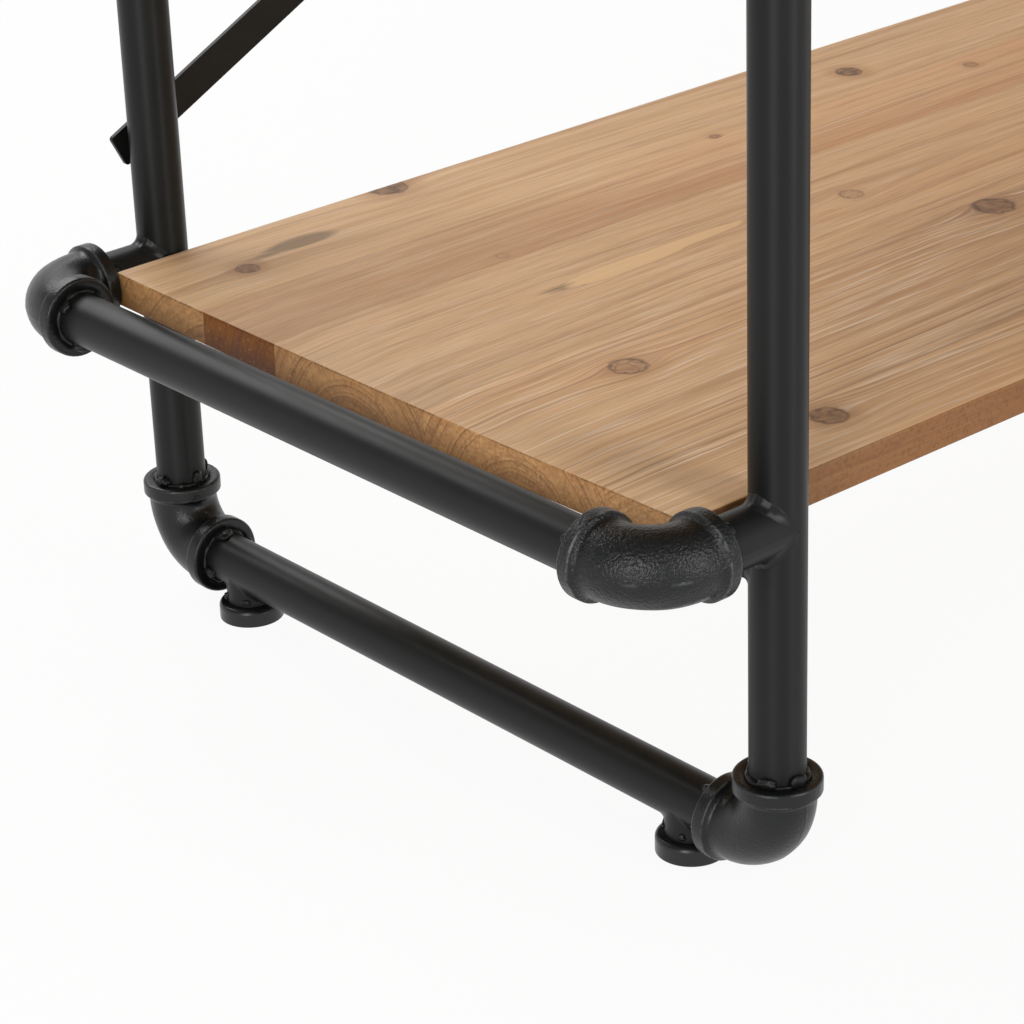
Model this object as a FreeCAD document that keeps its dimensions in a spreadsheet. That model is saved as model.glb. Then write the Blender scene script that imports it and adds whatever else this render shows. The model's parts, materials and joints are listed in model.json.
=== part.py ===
"""Pipe shelving unit: two welded pipe end frames, three fir shelves and a crossed brace.

Millimetres, +Z up, +X along the shelves, front towards -Y. The origin lies on the floor
under the middle of the unit.
"""
import FreeCAD, Part
import math
import os

import Sketcher
from FreeCAD import Placement, Rotation, Vector

# Driving dimensions
SIZES = {
    # Round tube of the posts, rails and stubs
    "tube_diameter": 28.0,
    "tube_wall": 1.5,
    # Shelf boards
    "shelf_length": 1080.0,
    "shelf_depth": 450.0,
    "shelf_thickness": 19.0,
    "shelf_edge_round": 1.2,
    "shelf_pitch": 325.0,
    "shelf_post_clearance": 2.0,
    "shelf_end_clearance": 0.7,
    # End frames: bays below the lower shelf and above the upper one, end rails outside the posts
    "foot_bay": 170.8,
    "top_bay": 170.8,
    "rail_offset": 82.0,
    # Cast elbows
    "elbow_reach": 38.0,
    "elbow_bend": 27.0,
    "elbow_wall": 4.1,
    "band_width": 7.5,
    "band_slope": 3.0,
    "band_height": 2.8,
    "band_round": 1.6,
    "socket_depth": 16.0,
    "socket_clearance": 1.25,
    "mouth_chamfer": 0.8,
    # Square tubes under the shelves
    "bearer_width": 20.0,
    "bearer_wall": 1.5,
    # Flat bars across the back
    "brace_width": 20.0,
    "brace_thickness": 2.5,
    "brace_margin": 71.0,
    "brace_end": 16.0,
    "brace_corner_round": 2.0,
    "joggle_margin": 3.0,
    "joggle_run": 40.0,
    # Brace bolts, their rivet nuts and the nut at the crossing
    "bolt_diameter": 6.0,
    "bolt_head_diameter": 11.0,
    "bolt_head_height": 3.0,
    "bolt_head_round": 1.6,
    "bolt_key_width": 4.0,
    "bolt_key_depth": 1.8,
    "bolt_hole_clearance": 0.2,
    "bolt_tip": 3.0,
    "thread_clearance": 0.05,
    "rivet_nut_wall": 1.5,
    "rivet_nut_length": 11.0,
    "nut_width": 10.0,
    "nut_height": 5.0,
    # Wood screws of the shelves
    "screw_diameter": 4.0,
    "screw_head_diameter": 8.0,
    "screw_head_height": 2.8,
    "screw_hole_clearance": 0.2,
    "screw_tip_gap": 0.5,
    "screw_cover": 5.5,
    "screw_inset": 70.0,
    "screw_access_clearance": 1.0,
    # Levelling glides and their bosses
    "glide_inset": 60.0,
    "glide_gap": 0.3,
    "pad_diameter": 36.6,
    "pad_height": 10.0,
    "pad_round": 3.0,
    "pad_floor": 3.0,
    "boss_diameter": 27.0,
    "boss_height": 5.2,
    "stud_diameter": 10.0,
    "stud_length": 27.0,
    "stud_hole_clearance": 0.6,
}

# Places and fits worked out from the driving dimensions
PLACES = {
    "tube_radius": "Size.tube_diameter / 2",
    "tube_bore": "Place.tube_radius - Size.tube_wall",
    "socket_radius": "Place.tube_radius + Size.socket_clearance",
    "elbow_radius": "Place.socket_radius + Size.elbow_wall",
    "band_radius": "Place.elbow_radius + Size.band_height",
    "seat": "Size.elbow_reach - Size.socket_depth",
    "post_y": "(Size.shelf_depth + Size.tube_diameter) / 2 + Size.shelf_post_clearance",
    "overhang": "Size.rail_offset - Size.elbow_reach - Size.shelf_end_clearance",
    "post_x": "Size.shelf_length / 2 - Place.overhang",
    "rail_x": "Place.post_x + Size.rail_offset",
    "boss_bottom": "Size.pad_height + Size.glide_gap",
    "foot_rail_z": "Place.boss_bottom + Size.boss_height + Place.tube_radius",
    "lower_z": "Place.foot_rail_z + Size.foot_bay",
    "middle_z": "Place.lower_z + Size.shelf_pitch",
    "upper_z": "Place.middle_z + Size.shelf_pitch",
    "top_rail_z": "Place.upper_z + Size.top_bay",
    "post_length": "Place.top_rail_z - Place.foot_rail_z - 2 * Place.seat",
    "rail_length": "2 * (Place.post_y - Place.seat)",
    "stub_length": "Size.rail_offset - Place.seat",
    "brace_y": "Place.post_y + Place.tube_radius",
    "brace_low_z": "Place.lower_z + Size.brace_margin",
    "brace_high_z": "Place.upper_z - Size.brace_margin",
    "brace_rise": "Place.brace_high_z - Place.brace_low_z",
    "brace_span": "sqrt((2 * Place.post_x) ^ 2 + Place.brace_rise ^ 2)",
    "crossing_length": "Size.brace_width * 2 * Place.post_x / Place.brace_rise",
    "bolt_radius": "Size.bolt_diameter / 2",
    "bolt_hole_radius": "Place.bolt_radius + Size.bolt_hole_clearance",
    "thread_radius": "Place.bolt_radius + Size.thread_clearance",
    "rivet_nut_radius": "Place.thread_radius + Size.rivet_nut_wall",
    "screw_y": "Size.shelf_depth / 2 - Size.screw_inset",
    "screw_radius": "Size.screw_diameter / 2",
    "screw_hole_radius": "Place.screw_radius + Size.screw_hole_clearance",
    "screw_access_radius": "Size.screw_head_diameter / 2 + Size.screw_access_clearance",
    "screw_hole_depth": "Size.shelf_thickness - Size.screw_cover",
    "screw_length": "Size.bearer_wall + Place.screw_hole_depth - Size.screw_tip_gap",
    "glide_y": "Place.post_y - Size.glide_inset",
    "stud_radius": "Size.stud_diameter / 2",
    "thread_bore": "Place.stud_radius + Size.thread_clearance",
    "stud_hole_radius": "Place.stud_radius + Size.stud_hole_clearance",
}

ENDS = {"left": -1, "right": 1}
SIDES = {"front": -1, "back": 1}
TIERS = ("lower", "middle", "upper")

# Within this distance two sizes of an edge count as equal
CLOSE = 1e-4

ALONG_Y = Rotation(Vector(1, 0, 0), -90)
UPRIGHT = Rotation()

doc = FreeCAD.newDocument("pipe_shelving_unit")
nodes = []


def add_sizes():
    """Put the driving dimensions in the sheet and the worked out places beside it."""
    sheet = doc.addObject("Spreadsheet::Sheet", "Size")
    for row, (name, value) in enumerate(SIZES.items(), start=1):
        sheet.set(f"A{row}", name)
        sheet.set(f"B{row}", str(value))
        sheet.setAlias(f"B{row}", name)
    doc.recompute()
    place = doc.addObject("App::VarSet", "Place")
    for name, formula in PLACES.items():
        place.addProperty("App::PropertyFloat", name, "Places")
        place.setExpression(name, formula)
    doc.recompute()


def bind(item, **formulas):
    """Bind properties of an object to formulas."""
    for name, formula in formulas.items():
        item.setExpression(name, formula)


def put(item, x="0", y="0", z="0", turn=UPRIGHT):
    """Turn an object and bind its position."""
    item.Placement = Placement(Vector(), turn)
    for axis, formula in zip("xyz", (x, y, z)):
        item.setExpression(f"Placement.Base.{axis}", formula)


def value_of(formula):
    return float(doc.Place.evalExpression(formula))


def side_of(sign, formula):
    """The formula on the positive or the negative side."""
    return f"{sign} * ({formula})"


def new_body(label):
    body = doc.addObject("PartDesign::Body", label)
    body.Label = label
    return body


def attach(item, body, plane, lift=None):
    """Seat a sketch or a feature on an origin plane of the body, lifted along its normal if asked."""
    planes = {origin.Role: origin for origin in body.Origin.OriginFeatures}
    item.AttachmentSupport = [(planes[plane], "")]
    item.MapMode = "FlatFace"
    if lift:
        item.setExpression("AttachmentOffset.Base.z", lift)


def new_sketch(body, plane, lift=None):
    sketch = body.newObject("Sketcher::SketchObject", "Sketch")
    attach(sketch, body, plane, lift)
    return sketch


def fix_point(sketch, edge, end, x, y):
    """Hold one point of a sketch at the formulas x and y."""
    for kind, formula in (("DistanceX", x), ("DistanceY", y)):
        held = sketch.addConstraint(Sketcher.Constraint(kind, -1, 1, edge, end, value_of(formula)))
        sketch.setExpression(f"Constraints[{held}]", formula)


def hold_radius(sketch, edge, formula):
    held = sketch.addConstraint(Sketcher.Constraint("Radius", edge, value_of(formula)))
    sketch.setExpression(f"Constraints[{held}]", formula)


def draw_circle(sketch, radius, x="0", y="0"):
    centre = Vector(value_of(x), value_of(y), 0)
    edge = sketch.addGeometry(Part.Circle(centre, Vector(0, 0, 1), value_of(radius)), False)
    fix_point(sketch, edge, 3, x, y)
    hold_radius(sketch, edge, radius)


def draw_outline(sketch, points):
    """Closed outline through points, each a pair of formulas."""
    corners = [Vector(value_of(x), value_of(y), 0) for x, y in points]
    edges = []
    for start, end in zip(corners, corners[1:] + corners[:1]):
        edges.append(sketch.addGeometry(Part.LineSegment(start, end), False))
    for edge, following in zip(edges, edges[1:] + edges[:1]):
        sketch.addConstraint(Sketcher.Constraint("Coincident", edge, 2, following, 1))
    for edge, (x, y) in zip(edges, points):
        fix_point(sketch, edge, 1, x, y)


def pad(body, sketch, length, both_ways=False):
    feature = body.newObject("PartDesign::Pad", "Pad")
    feature.Profile = sketch
    feature.SideType = "Symmetric" if both_ways else "One side"
    bind(feature, Length=length)


def pocket(body, sketch, length=None, both_ways=False, flip=False):
    """Cut a sketch out of the body, to a depth or right through."""
    feature = body.newObject("PartDesign::Pocket", "Pocket")
    feature.Profile = sketch
    feature.SideType = "Symmetric" if both_ways else "One side"
    feature.Reversed = flip
    if length:
        bind(feature, Length=length)
    else:
        feature.Type = "ThroughAll"


def revolve(body, sketch, axis):
    feature = body.newObject("PartDesign::Revolution", "Revolution")
    feature.Profile = sketch
    feature.ReferenceAxis = (sketch, [axis])
    feature.Angle = 360


def dress(body, kind, size, wanted):
    """Fillet or chamfer the edges for which wanted(edge) holds."""
    doc.recompute()
    base = body.Tip
    names = [f"Edge{i}" for i, edge in enumerate(base.Shape.Edges, start=1) if wanted(edge)]
    feature = body.newObject(f"PartDesign::{kind}", kind)
    feature.Base = (base, names)
    bind(feature, **{"Radius" if kind == "Fillet" else "Size": size})


def is_ring(edge, radius, z=None):
    """Whether an edge is a full circle of a radius, at a height of the body if given."""
    curve = edge.Curve
    if not (isinstance(curve, Part.Circle) and edge.isClosed()):
        return False
    level = z is None or abs(curve.Center.z - z) < CLOSE
    return level and abs(curve.Radius - radius) < CLOSE


def is_end_corner(edge, tip):
    """Whether an edge runs through the thickness of a bar at one of its ends."""
    box = edge.BoundBox
    return abs(box.Center.x) > tip - CLOSE and box.ZLength < CLOSE


def copy_of(master, label, **where):
    """A piece with the shape of a master, at its own place."""
    body = new_body(label)
    body.BaseFeature = master
    put(body, **where)
    return body


def group_of(label, pieces):
    group = doc.addObject("Part::Compound", label)
    group.Label = label
    group.Links = pieces
    return group


def facing(first, second):
    """Rotation that takes local X to the first direction and local Y to the second."""
    first, second = Vector(*first), Vector(*second)
    return Rotation(first, second, first.cross(second), "XYZ")


def make_tube(label, outer, bore, length, holes=()):
    """Tube up from its origin along Z, with round holes (height, radius) in its +Y wall."""
    body = new_body(label)
    section = new_sketch(body, "XY_Plane")
    draw_circle(section, outer)
    draw_circle(section, bore)
    pad(body, section, length)
    for height, radius in holes:
        hole = new_sketch(body, "XZ_Plane")
        draw_circle(hole, radius, y=height)
        pocket(body, hole)
    return body


def make_elbow():
    """Elbow with mouths along +X and +Y, a raised band at each and stepped sockets."""
    body = new_body("elbow_pattern")
    spine = new_sketch(body, "XY_Plane")
    bend, reach = doc.Size.elbow_bend, doc.Size.elbow_reach
    run = spine.addGeometry(Part.LineSegment(Vector(reach, 0, 0), Vector(bend, 0, 0)), False)
    circle = Part.Circle(Vector(bend, bend, 0), Vector(0, 0, 1), bend)
    arc = spine.addGeometry(Part.ArcOfCircle(circle, math.pi, 1.5 * math.pi), False)
    rise = spine.addGeometry(Part.LineSegment(Vector(0, bend, 0), Vector(0, reach, 0)), False)
    fix_point(spine, run, 1, "Size.elbow_reach", "0")
    fix_point(spine, run, 2, "Size.elbow_bend", "0")
    fix_point(spine, rise, 1, "0", "Size.elbow_bend")
    fix_point(spine, rise, 2, "0", "Size.elbow_reach")
    spine.addConstraint(Sketcher.Constraint("Coincident", arc, 2, run, 2))
    spine.addConstraint(Sketcher.Constraint("Coincident", arc, 1, rise, 1))
    hold_radius(spine, arc, "Size.elbow_bend")
    for kind, radius in (("AdditivePipe", "Place.elbow_radius"), ("SubtractivePipe", "Place.tube_bore")):
        section = new_sketch(body, "YZ_Plane", lift="Size.elbow_reach")
        draw_circle(section, radius)
        pipe = body.newObject(f"PartDesign::{kind}", kind)
        pipe.Profile = section
        pipe.Spine = (spine, ["Edge1", "Edge2", "Edge3"])
        if kind == "AdditivePipe":
            add_bands(body)
    cut_sockets(body)
    doc.recompute()
    band = doc.Place.band_radius
    dress(body, "Fillet", "Size.band_round", lambda edge: is_ring(edge, band))
    socket = doc.Place.socket_radius
    dress(body, "Chamfer", "Size.mouth_chamfer",
          lambda edge: is_ring(edge, socket) and max(edge.Curve.Center) > reach - CLOSE)
    return body


def add_bands(body):
    """Raised ring at each mouth, with a slope down to the body of the elbow."""
    start = "Size.elbow_reach - Size.band_width"
    foot = f"{start} - Size.band_slope"
    ring = [("Size.elbow_reach", "Place.tube_bore"), ("Size.elbow_reach", "Place.band_radius"),
            (start, "Place.band_radius"), (foot, "Place.elbow_radius"), (foot, "Place.tube_bore")]
    for axis in ("H_Axis", "V_Axis"):
        outline = new_sketch(body, "XY_Plane")
        draw_outline(outline, ring if axis == "H_Axis" else [(y, x) for x, y in ring])
        revolve(body, outline, axis)


def cut_sockets(body):
    """Sockets that the tubes slide into, up to a shoulder."""
    mouths = (("YZ_Plane", "Size.elbow_reach", False), ("XZ_Plane", "-Size.elbow_reach", True))
    for plane, lift, flip in mouths:
        mouth = new_sketch(body, plane, lift=lift)
        draw_circle(mouth, "Place.socket_radius")
        pocket(body, mouth, "Size.socket_depth", flip=flip)


def make_stub():
    """Short tube along Z from the post's axis, its root cut to sit on the post."""
    body = make_tube("stub_pattern", "Place.tube_radius", "Place.tube_bore", "Place.stub_length")
    saddle = new_sketch(body, "XZ_Plane")
    draw_circle(saddle, "Place.tube_radius")
    pocket(body, saddle, both_ways=True)
    return body


def make_shelf():
    """Board centred on its origin, with pilot holes for its screws from below."""
    body = new_body("shelf_pattern")
    half_length, half_depth = "Size.shelf_length / 2", "Size.shelf_depth / 2"
    outline = new_sketch(body, "XY_Plane")
    draw_outline(outline, [(side_of(x, half_length), side_of(y, half_depth))
                           for x, y in ((-1, -1), (1, -1), (1, 1), (-1, 1))])
    pad(body, outline, "Size.shelf_thickness", both_ways=True)
    dress(body, "Fillet", "Size.shelf_edge_round", lambda edge: True)
    holes = new_sketch(body, "XY_Plane", lift="-Size.shelf_thickness / 2")
    for x in ENDS.values():
        for y in SIDES.values():
            draw_circle(holes, "Place.screw_hole_radius",
                        side_of(x, "Place.post_x"), side_of(y, "Place.screw_y"))
    pocket(body, holes, "Place.screw_hole_depth", flip=True)
    return body


def make_bearer():
    """Square tube along Y between two posts, top face at its origin, drilled for two screws."""
    body = new_body("bearer_pattern")
    section = new_sketch(body, "XZ_Plane")
    half = "Size.bearer_width / 2"
    for inset in ("0", "Size.bearer_wall"):
        wide, top = f"({half} - {inset})", f"-{inset}"
        bottom = f"-Size.bearer_width + {inset}"
        draw_outline(section, [(f"-{wide}", bottom), (wide, bottom), (wide, top), (f"-{wide}", top)])
    pad(body, section, "2 * Place.post_y", both_ways=True)
    post_copes, stub_copes = new_sketch(body, "XY_Plane"), new_sketch(body, "YZ_Plane")
    for y in SIDES.values():
        draw_circle(post_copes, "Place.tube_radius", y=side_of(y, "Place.post_y"))
        draw_circle(stub_copes, "Place.tube_radius", side_of(y, "Place.post_y"), "Size.shelf_thickness / 2")
    pocket(body, post_copes, both_ways=True)
    pocket(body, stub_copes, both_ways=True)
    walls = (("Place.screw_hole_radius", "0"), ("Place.screw_access_radius", "-Size.bearer_width / 2"))
    for radius, lift in walls:
        holes = new_sketch(body, "XY_Plane", lift=lift)
        for y in SIDES.values():
            draw_circle(holes, radius, y=side_of(y, "Place.screw_y"))
        pocket(body, holes)
    return body


def make_brace(label, joggled):
    """Flat bar along X, back face away from the posts, bent out round the other bar if joggled."""
    body = new_body(label)
    end = "(Place.brace_span / 2 + Size.brace_end)"
    flat = "(Place.crossing_length / 2 + Size.joggle_margin)"
    ramp = f"({flat} + Size.joggle_run)"
    step = "Size.brace_thickness"
    inner = [(f"-{end}", "0"), (end, "0")]
    if joggled:
        inner[1:1] = [(f"-{ramp}", "0"), (f"-{flat}", step), (flat, step), (ramp, "0")]
    outer = [(x, f"{y} + {step}") for x, y in reversed(inner)]
    profile = new_sketch(body, "XY_Plane")
    draw_outline(profile, inner + outer)
    pad(body, profile, "Size.brace_width", both_ways=True)
    tip = value_of(end)
    dress(body, "Fillet", "Size.brace_corner_round", lambda edge: is_end_corner(edge, tip))
    holes = new_sketch(body, "XZ_Plane")
    for x in ("-Place.brace_span / 2", "0", "Place.brace_span / 2"):
        draw_circle(holes, "Place.bolt_hole_radius", x)
    pocket(body, holes, both_ways=True)
    return body


def make_bolt(label, grip):
    """Button head bolt along -Z, the seat of its head at the origin, with a hexagon recess."""
    body = new_body(label)
    head, top = "Size.bolt_head_diameter / 2", "Size.bolt_head_height"
    tip = f"-({grip})"
    outline = new_sketch(body, "XZ_Plane")
    draw_outline(outline, [("0", tip), ("Place.bolt_radius", tip), ("Place.bolt_radius", "0"),
                           (head, "0"), (head, top), ("0", top)])
    revolve(body, outline, "V_Axis")
    doc.recompute()
    rim, height = doc.Size.bolt_head_diameter / 2, doc.Size.bolt_head_height
    dress(body, "Fillet", "Size.bolt_head_round", lambda edge: is_ring(edge, rim, height))
    recess = body.newObject("PartDesign::SubtractivePrism", "Recess")
    recess.Polygon = 6
    bind(recess, Circumradius="Size.bolt_key_width / sqrt(3)", Height="Size.bolt_key_depth")
    attach(recess, body, "XY_Plane", "Size.bolt_head_height - Size.bolt_key_depth")
    return body


def make_nut():
    """Hexagon nut, its seat at the origin and its body along +Z."""
    body = new_body("brace_centre_nut")
    hexagon = body.newObject("PartDesign::AdditivePrism", "Hexagon")
    hexagon.Polygon = 6
    bind(hexagon, Circumradius="Size.nut_width / sqrt(3)", Height="Size.nut_height")
    bore = new_sketch(body, "XY_Plane")
    draw_circle(bore, "Place.thread_radius")
    pocket(body, bore, both_ways=True)
    return body


def make_screw():
    """Pan head wood screw along +Z, the seat of its head at the origin."""
    body = new_body("screw_pattern")
    head, low = "Size.screw_head_diameter / 2", "-Size.screw_head_height"
    tip = "Place.screw_length"
    point = f"{tip} - Size.screw_diameter"
    outline = new_sketch(body, "XZ_Plane")
    draw_outline(outline, [("0", low), (head, low), (head, "0"), ("Place.screw_radius", "0"),
                           ("Place.screw_radius", point), ("0", tip)])
    revolve(body, outline, "V_Axis")
    return body


def make_boss():
    """Threaded boss up from its origin, its top cut to sit under the foot rail."""
    body = make_tube("boss_pattern", "Size.boss_diameter / 2", "Place.thread_bore",
                     "Size.boss_height + Place.tube_radius")
    saddle = new_sketch(body, "XZ_Plane")
    draw_circle(saddle, "Place.tube_radius", y="Size.boss_height + Place.tube_radius")
    pocket(body, saddle, both_ways=True)
    return body


def make_pad():
    """Moulded foot of a glide, with a blind hole for its stud."""
    body = new_body("pad_pattern")
    section = new_sketch(body, "XY_Plane")
    draw_circle(section, "Size.pad_diameter / 2")
    pad(body, section, "Size.pad_height")
    doc.recompute()
    rim, top = doc.Size.pad_diameter / 2, doc.Size.pad_height
    dress(body, "Fillet", "Size.pad_round", lambda edge: is_ring(edge, rim, top))
    hole = new_sketch(body, "XY_Plane", lift="Size.pad_height")
    draw_circle(hole, "Place.stud_radius")
    pocket(body, hole, "Size.pad_height - Size.pad_floor")
    return body


def make_stud():
    body = new_body("stud_pattern")
    section = new_sketch(body, "XY_Plane")
    draw_circle(section, "Place.stud_radius")
    pad(body, section, "Size.stud_length")
    return body


def add_posts():
    bottom = "Place.foot_rail_z + Place.seat"
    brace_holes = [(f"{z} - ({bottom})", "Place.rivet_nut_radius")
                   for z in ("Place.brace_low_z", "Place.brace_high_z")]
    for end, x in ENDS.items():
        for side, y in SIDES.items():
            holes = brace_holes if side == "back" else ()
            post = make_tube(f"{side}_{end}_post", "Place.tube_radius", "Place.tube_bore",
                             "Place.post_length", holes)
            put(post, side_of(x, "Place.post_x"), side_of(y, "Place.post_y"), bottom)
            nodes.append(post)


def add_rails():
    start = "-(Place.post_y - Place.seat)"
    stud_holes = [(f"{side_of(y, 'Place.glide_y')} - ({start})", "Place.stud_hole_radius")
                  for y in SIDES.values()]
    levels = {"foot": ("Place.post_x", "Place.foot_rail_z", stud_holes),
              "top": ("Place.post_x", "Place.top_rail_z", ())}
    for tier in TIERS:
        levels[f"{tier}_end"] = ("Place.rail_x", f"Place.{tier}_z", ())
    for level, (x, z, holes) in levels.items():
        for end, sign in ENDS.items():
            rail = make_tube(f"{end}_{level}_rail", "Place.tube_radius", "Place.tube_bore",
                             "Place.rail_length", holes)
            put(rail, side_of(sign, x), start, z, ALONG_Y)
            nodes.append(rail)


def add_elbows():
    elbow = make_elbow()
    for end, x in ENDS.items():
        for side, y in SIDES.items():
            inward = (0, -y, 0)
            spots = {"foot": ("Place.post_x", "Place.foot_rail_z", (0, 0, 1)),
                     "top": ("Place.post_x", "Place.top_rail_z", (0, 0, -1))}
            for tier in TIERS:
                spots[f"{tier}_rail"] = ("Place.rail_x", f"Place.{tier}_z", (-x, 0, 0))
            for spot, (across, z, mouth) in spots.items():
                nodes.append(copy_of(elbow, f"{side}_{end}_{spot}_elbow", x=side_of(x, across),
                                     y=side_of(y, "Place.post_y"), z=z, turn=facing(mouth, inward)))


def add_stubs():
    stub = make_stub()
    for end, x in ENDS.items():
        outward = facing((0, x, 0), (0, 0, 1))
        pieces = [copy_of(stub, f"{side}_{end}_{tier}_stub", x=side_of(x, "Place.post_x"),
                          y=side_of(y, "Place.post_y"), z=f"Place.{tier}_z", turn=outward)
                  for tier in TIERS for side, y in SIDES.items()]
        nodes.append(group_of(f"{end}_rail_stubs", pieces))


def add_shelves():
    shelf, bearer, screw = make_shelf(), make_bearer(), make_screw()
    screws = []
    for tier in TIERS:
        nodes.append(copy_of(shelf, f"{tier}_shelf", z=f"Place.{tier}_z"))
        under = f"Place.{tier}_z - Size.shelf_thickness / 2"
        bearers = [copy_of(bearer, f"{end}_{tier}_bearer", x=side_of(x, "Place.post_x"), z=under)
                   for end, x in ENDS.items()]
        nodes.append(group_of(f"{tier}_shelf_bearers", bearers))
        screws += [copy_of(screw, f"{side}_{end}_{tier}_screw", x=side_of(x, "Place.post_x"),
                           y=side_of(y, "Place.screw_y"), z=f"{under} - Size.bearer_wall")
                   for end, x in ENDS.items() for side, y in SIDES.items()]
    nodes.append(group_of("shelf_screws", screws))


def add_braces():
    """Crossed bars on the back posts; the falling one steps out over the rising one."""
    slope = "atan2(Place.brace_rise; 2 * Place.post_x)"
    for label, joggled, sign in (("rising_brace", False, -1), ("falling_brace", True, 1)):
        brace = make_brace(label, joggled)
        put(brace, y="Place.brace_y", z="Place.middle_z", turn=Rotation(Vector(0, 1, 0), 1))
        brace.setExpression("Placement.Rotation.Angle", f"{sign} * {slope}")
        nodes.append(brace)
    bolt = make_bolt("end_bolt_pattern", "Size.brace_thickness + Size.rivet_nut_length + Size.bolt_tip")
    rivet_nut = make_tube("rivet_nut_pattern", "Place.rivet_nut_radius", "Place.thread_radius",
                          "Size.rivet_nut_length")
    backward = facing((1, 0, 0), (0, 0, -1))
    bolts, rivet_nuts = [], []
    for end, x in ENDS.items():
        for level in ("low", "high"):
            spot = {"x": side_of(x, "Place.post_x"), "z": f"Place.brace_{level}_z", "turn": backward}
            bolts.append(copy_of(bolt, f"{end}_{level}_bolt",
                                 y="Place.brace_y + Size.brace_thickness", **spot))
            rivet_nuts.append(copy_of(rivet_nut, f"{end}_{level}_rivet_nut",
                                      y="Place.brace_y - Size.rivet_nut_length", **spot))
    nodes.append(group_of("brace_end_bolts", bolts))
    nodes.append(group_of("brace_rivet_nuts", rivet_nuts))
    centre_bolt = make_bolt("brace_centre_bolt", "2 * Size.brace_thickness + Size.nut_height + Size.bolt_tip")
    put(centre_bolt, y="Place.brace_y + 2 * Size.brace_thickness", z="Place.middle_z", turn=backward)
    nut = make_nut()
    put(nut, y="Place.brace_y - Size.nut_height", z="Place.middle_z", turn=backward)
    nodes.extend([centre_bolt, nut])


def add_glides():
    boss, foot, stud = make_boss(), make_pad(), make_stud()
    bosses = []
    for end, x in ENDS.items():
        for side, y in SIDES.items():
            spot = {"x": side_of(x, "Place.post_x"), "y": side_of(y, "Place.glide_y")}
            bosses.append(copy_of(boss, f"{side}_{end}_boss", z="Place.boss_bottom", **spot))
            nodes.append(copy_of(foot, f"{side}_{end}_glide_pad", **spot))
            nodes.append(copy_of(stud, f"{side}_{end}_glide_stud", z="Size.pad_floor", **spot))
    nodes.append(group_of("glide_bosses", bosses))


def check_model():
    """Stop if any feature failed or any piece is not a set of valid solids."""
    failed = [item.Name for item in doc.Objects if {"Invalid", "Error"} & set(item.State)]
    if failed:
        raise RuntimeError(f"failed features: {failed}")
    for node in nodes:
        shape = node.Shape
        if shape.isNull() or not shape.isValid() or not shape.Solids:
            raise RuntimeError(f"{node.Label} has no valid solid")


add_sizes()
add_posts()
add_rails()
add_elbows()
add_stubs()
add_shelves()
add_braces()
add_glides()
doc.recompute()
check_model()
os.makedirs("parts", exist_ok=True)
for node in nodes:
    node.Shape.exportStep(f"parts/{node.Label}.step")
print(len(nodes), "nodes,", sum(len(node.Shape.Solids) for node in nodes), "solids")
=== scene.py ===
# %% [markdown]
# # Pipe shelving unit
# Black steel tube, cast iron elbows, fir boards and a crossed brace of flat bar. The frame holds
# every piece as a plain solid at its real size and place. This lesson gives each solid its finish,
# and builds what a plain solid can't show: castings with their seam, weld beads, and boards that
# carry the growth rings of the tree.

# %% Load the frame
import json
import math
from functools import partial

import bpy
import numpy as np
from mathutils import Matrix, Vector


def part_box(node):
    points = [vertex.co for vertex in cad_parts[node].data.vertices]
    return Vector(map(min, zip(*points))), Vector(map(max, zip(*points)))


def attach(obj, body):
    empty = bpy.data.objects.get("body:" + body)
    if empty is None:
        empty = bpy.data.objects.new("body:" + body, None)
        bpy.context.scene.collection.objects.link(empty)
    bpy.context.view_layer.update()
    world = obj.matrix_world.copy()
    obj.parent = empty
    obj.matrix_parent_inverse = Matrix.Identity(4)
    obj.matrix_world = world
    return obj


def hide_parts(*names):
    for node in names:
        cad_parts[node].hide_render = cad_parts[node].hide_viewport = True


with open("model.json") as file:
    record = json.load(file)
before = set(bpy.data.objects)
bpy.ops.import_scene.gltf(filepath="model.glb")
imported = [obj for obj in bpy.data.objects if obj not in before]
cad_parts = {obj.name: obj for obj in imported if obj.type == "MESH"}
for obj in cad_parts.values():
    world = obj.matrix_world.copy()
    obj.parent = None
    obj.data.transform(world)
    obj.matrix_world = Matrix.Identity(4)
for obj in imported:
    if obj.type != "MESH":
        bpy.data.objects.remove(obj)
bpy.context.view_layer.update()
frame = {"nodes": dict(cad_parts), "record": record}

nodes = frame["nodes"]

# %% [markdown]
# Shop sizes are easier to read in millimetres, so every size of the object is in millimetres and
# becomes metres where a mesh is made. The places of the tubes and boards are measured on the frame
# and not written again, so a new frame moves the welds and castings with it.

# %% Measure the frame
MM = 0.001
ENDS = {"left": -1, "right": 1}
SIDES = {"front": -1, "back": 1}
TIERS = ("lower", "middle", "upper")


def corners_mm(node):
    """Lowest and highest corner of a node, in millimetres."""
    return [np.array(corner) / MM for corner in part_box(node)]


def middle_mm(node):
    """Middle of a node's box, in millimetres."""
    return sum(corners_mm(node)) / 2


post_low, post_high = corners_mm("back_right_post")
TUBE_RADIUS = (post_high[0] - post_low[0]) / 2
POST_X, POST_Y = middle_mm("back_right_post")[:2]
RAIL_X = middle_mm("right_lower_end_rail")[0]
FOOT_Z = middle_mm("right_foot_rail")[2]
TOP_Z = middle_mm("right_top_rail")[2]
TIER_Z = {tier: middle_mm(f"{tier}_shelf")[2] for tier in TIERS}
print(f"tube {2 * TUBE_RADIUS:.1f}, posts at {POST_X:.1f}, {POST_Y:.1f}, shelves at {TIER_Z}")

# %% [markdown]
# Every new piece is a closed surface worked out as whole arrays. Two grids are enough for all of
# them: one that closes on itself both ways, like the skin of a ring, and the skin of a box, which
# can be pulled into a board, a bead or a blob and has no poles to close.

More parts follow.
